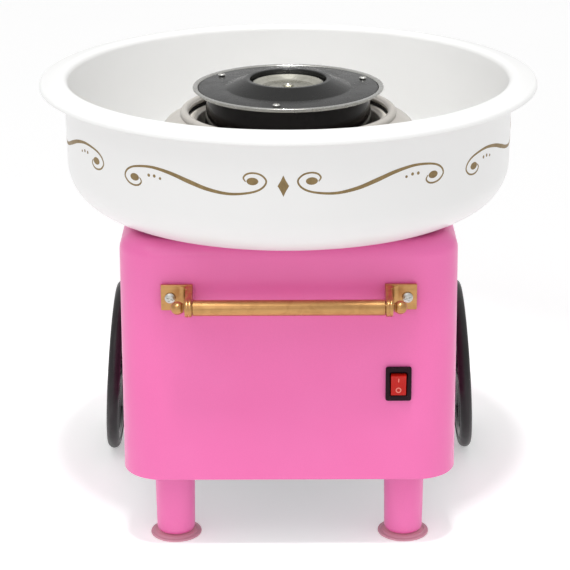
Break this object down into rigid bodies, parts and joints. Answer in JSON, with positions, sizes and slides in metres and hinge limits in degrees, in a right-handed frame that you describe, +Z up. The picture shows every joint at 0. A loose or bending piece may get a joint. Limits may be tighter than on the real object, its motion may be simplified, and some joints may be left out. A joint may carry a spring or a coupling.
{
  "type": "cotton candy machine",
  "caption": "Table-top cotton candy machine: cart-shaped body on legs and spoked wheels, push bar, rocker switch, spinning extractor head and lift-off bowl.",
  "frame": {"origin": "on the bowl's vertical axis, at the level of the surface that the machine stands on", "axes": "+Z up, the front with the push bar faces -Y, +X to the right seen from the front"},
  "size_m": [0.3, 0.3, 0.275],
  "materials": {
    "body_plastic": "satin pink moulded plastic",
    "bowl_plastic": "white glossy moulded plastic",
    "gold_print": "gold ink print",
    "foot_pad": "tinted soft plastic",
    "satin_brass": "satin, slightly aged",
    "screw_steel": "bright zinc",
    "zinc_sheet": "zinc plated sheet",
    "motor_steel": "plain steel",
    "black_plastic": "fine textured black",
    "ivory_plastic": "ivory moulded",
    "switch_red": "tinted red gloss",
    "switch_mark": "pad printed",
    "black_rubber": "matt",
    "grey_plastic": "satin heat-resistant plastic",
    "heater_ceramic": "unglazed",
    "heater_steel": "heat-tinted sheath",
    "head_cover": "dark grey satin coating",
    "head_aluminium": "turned",
    "head_black": "black enamel",
    "dish_metal": "spun, slightly stained",
    "tyre_black": "satin",
    "wheel_black": "black moulded plastic"
  },
  "bodies": {
    "cart": {"body_shell": "body_plastic", "base_plate": "zinc_sheet", "base_screw_1": "screw_steel", "base_screw_2": "screw_steel", "base_screw_3": "screw_steel", "base_screw_4": "screw_steel", "front_left_leg": "body_plastic", "front_right_leg": "body_plastic", "front_left_foot_pad": "foot_pad", "front_right_foot_pad": "foot_pad", "push_bar": "satin_brass", "left_bar_bracket": "satin_brass", "right_bar_bracket": "satin_brass", "left_ball_finial": "satin_brass", "right_ball_finial": "satin_brass", "left_bracket_screw": "screw_steel", "right_bracket_screw": "screw_steel", "switch_housing": "black_plastic", "mains_inlet_gland": "black_rubber", "motor_can": "motor_steel", "motor_end_cap": "black_plastic", "motor_bracket": "zinc_sheet", "motor_bush_1": "black_rubber", "motor_bush_2": "black_rubber", "motor_bush_3": "black_rubber", "motor_bush_4": "black_rubber", "terminal_block": "ivory_plastic", "thermal_cut_out": "motor_steel", "heater_housing": "grey_plastic", "heater_carrier": "heater_ceramic", "heater_element": "heater_steel", "left_axle_stub": "motor_steel", "right_axle_stub": "motor_steel"},
    "rocker": {"switch_rocker": "switch_red"},
    "spindle": {"motor_shaft": "motor_steel", "drive_hub": "head_aluminium", "cooling_fan": "black_plastic"},
    "head": {"cover_disc": "head_cover", "rim_plate": "head_aluminium", "head_drum": "head_black", "sugar_dish": "dish_metal", "dish_nut": "dish_metal", "head_screw_1": "screw_steel", "head_screw_2": "screw_steel", "head_screw_3": "screw_steel"},
    "lift_off_bowl": {"bowl": "bowl_plastic"},
    "left_wheel": {"left_tyre": "tyre_black", "left_spoked_wheel": "wheel_black", "left_hub_cap": "wheel_black"},
    "right_wheel": {"right_tyre": "tyre_black", "right_spoked_wheel": "wheel_black", "right_hub_cap": "wheel_black"}
  },
  "joints": [
    {"name": "switch_rock", "type": "hinge", "parent": "cart", "child": "rocker", "pos_m": [0.0642, -0.0941, 0.1102], "axis": [-1, 0, 0], "range_deg": [0, 16]},
    {"name": "spindle_spin", "type": "hinge", "parent": "cart", "child": "spindle", "pos_m": [0, 0, 0.2], "axis": [0, 0, 1], "continuous": true},
    {"name": "head_lift", "type": "slide", "parent": "spindle", "child": "head", "axis": [0, 0, 1], "range_m": [0, 0.05]},
    {"name": "bowl_lift", "type": "slide", "parent": "cart", "child": "lift_off_bowl", "axis": [0, 0, 1], "range_m": [0, 0.12]},
    {"name": "left_wheel_spin", "type": "hinge", "parent": "cart", "child": "left_wheel", "pos_m": [-0.1145, 0.075, 0.05639], "axis": [-0.998, 0, 0.0637], "continuous": true},
    {"name": "right_wheel_spin", "type": "hinge", "parent": "cart", "child": "right_wheel", "pos_m": [0.1145, 0.075, 0.05639], "axis": [0.998, 0, 0.0637], "continuous": true}
  ]
}
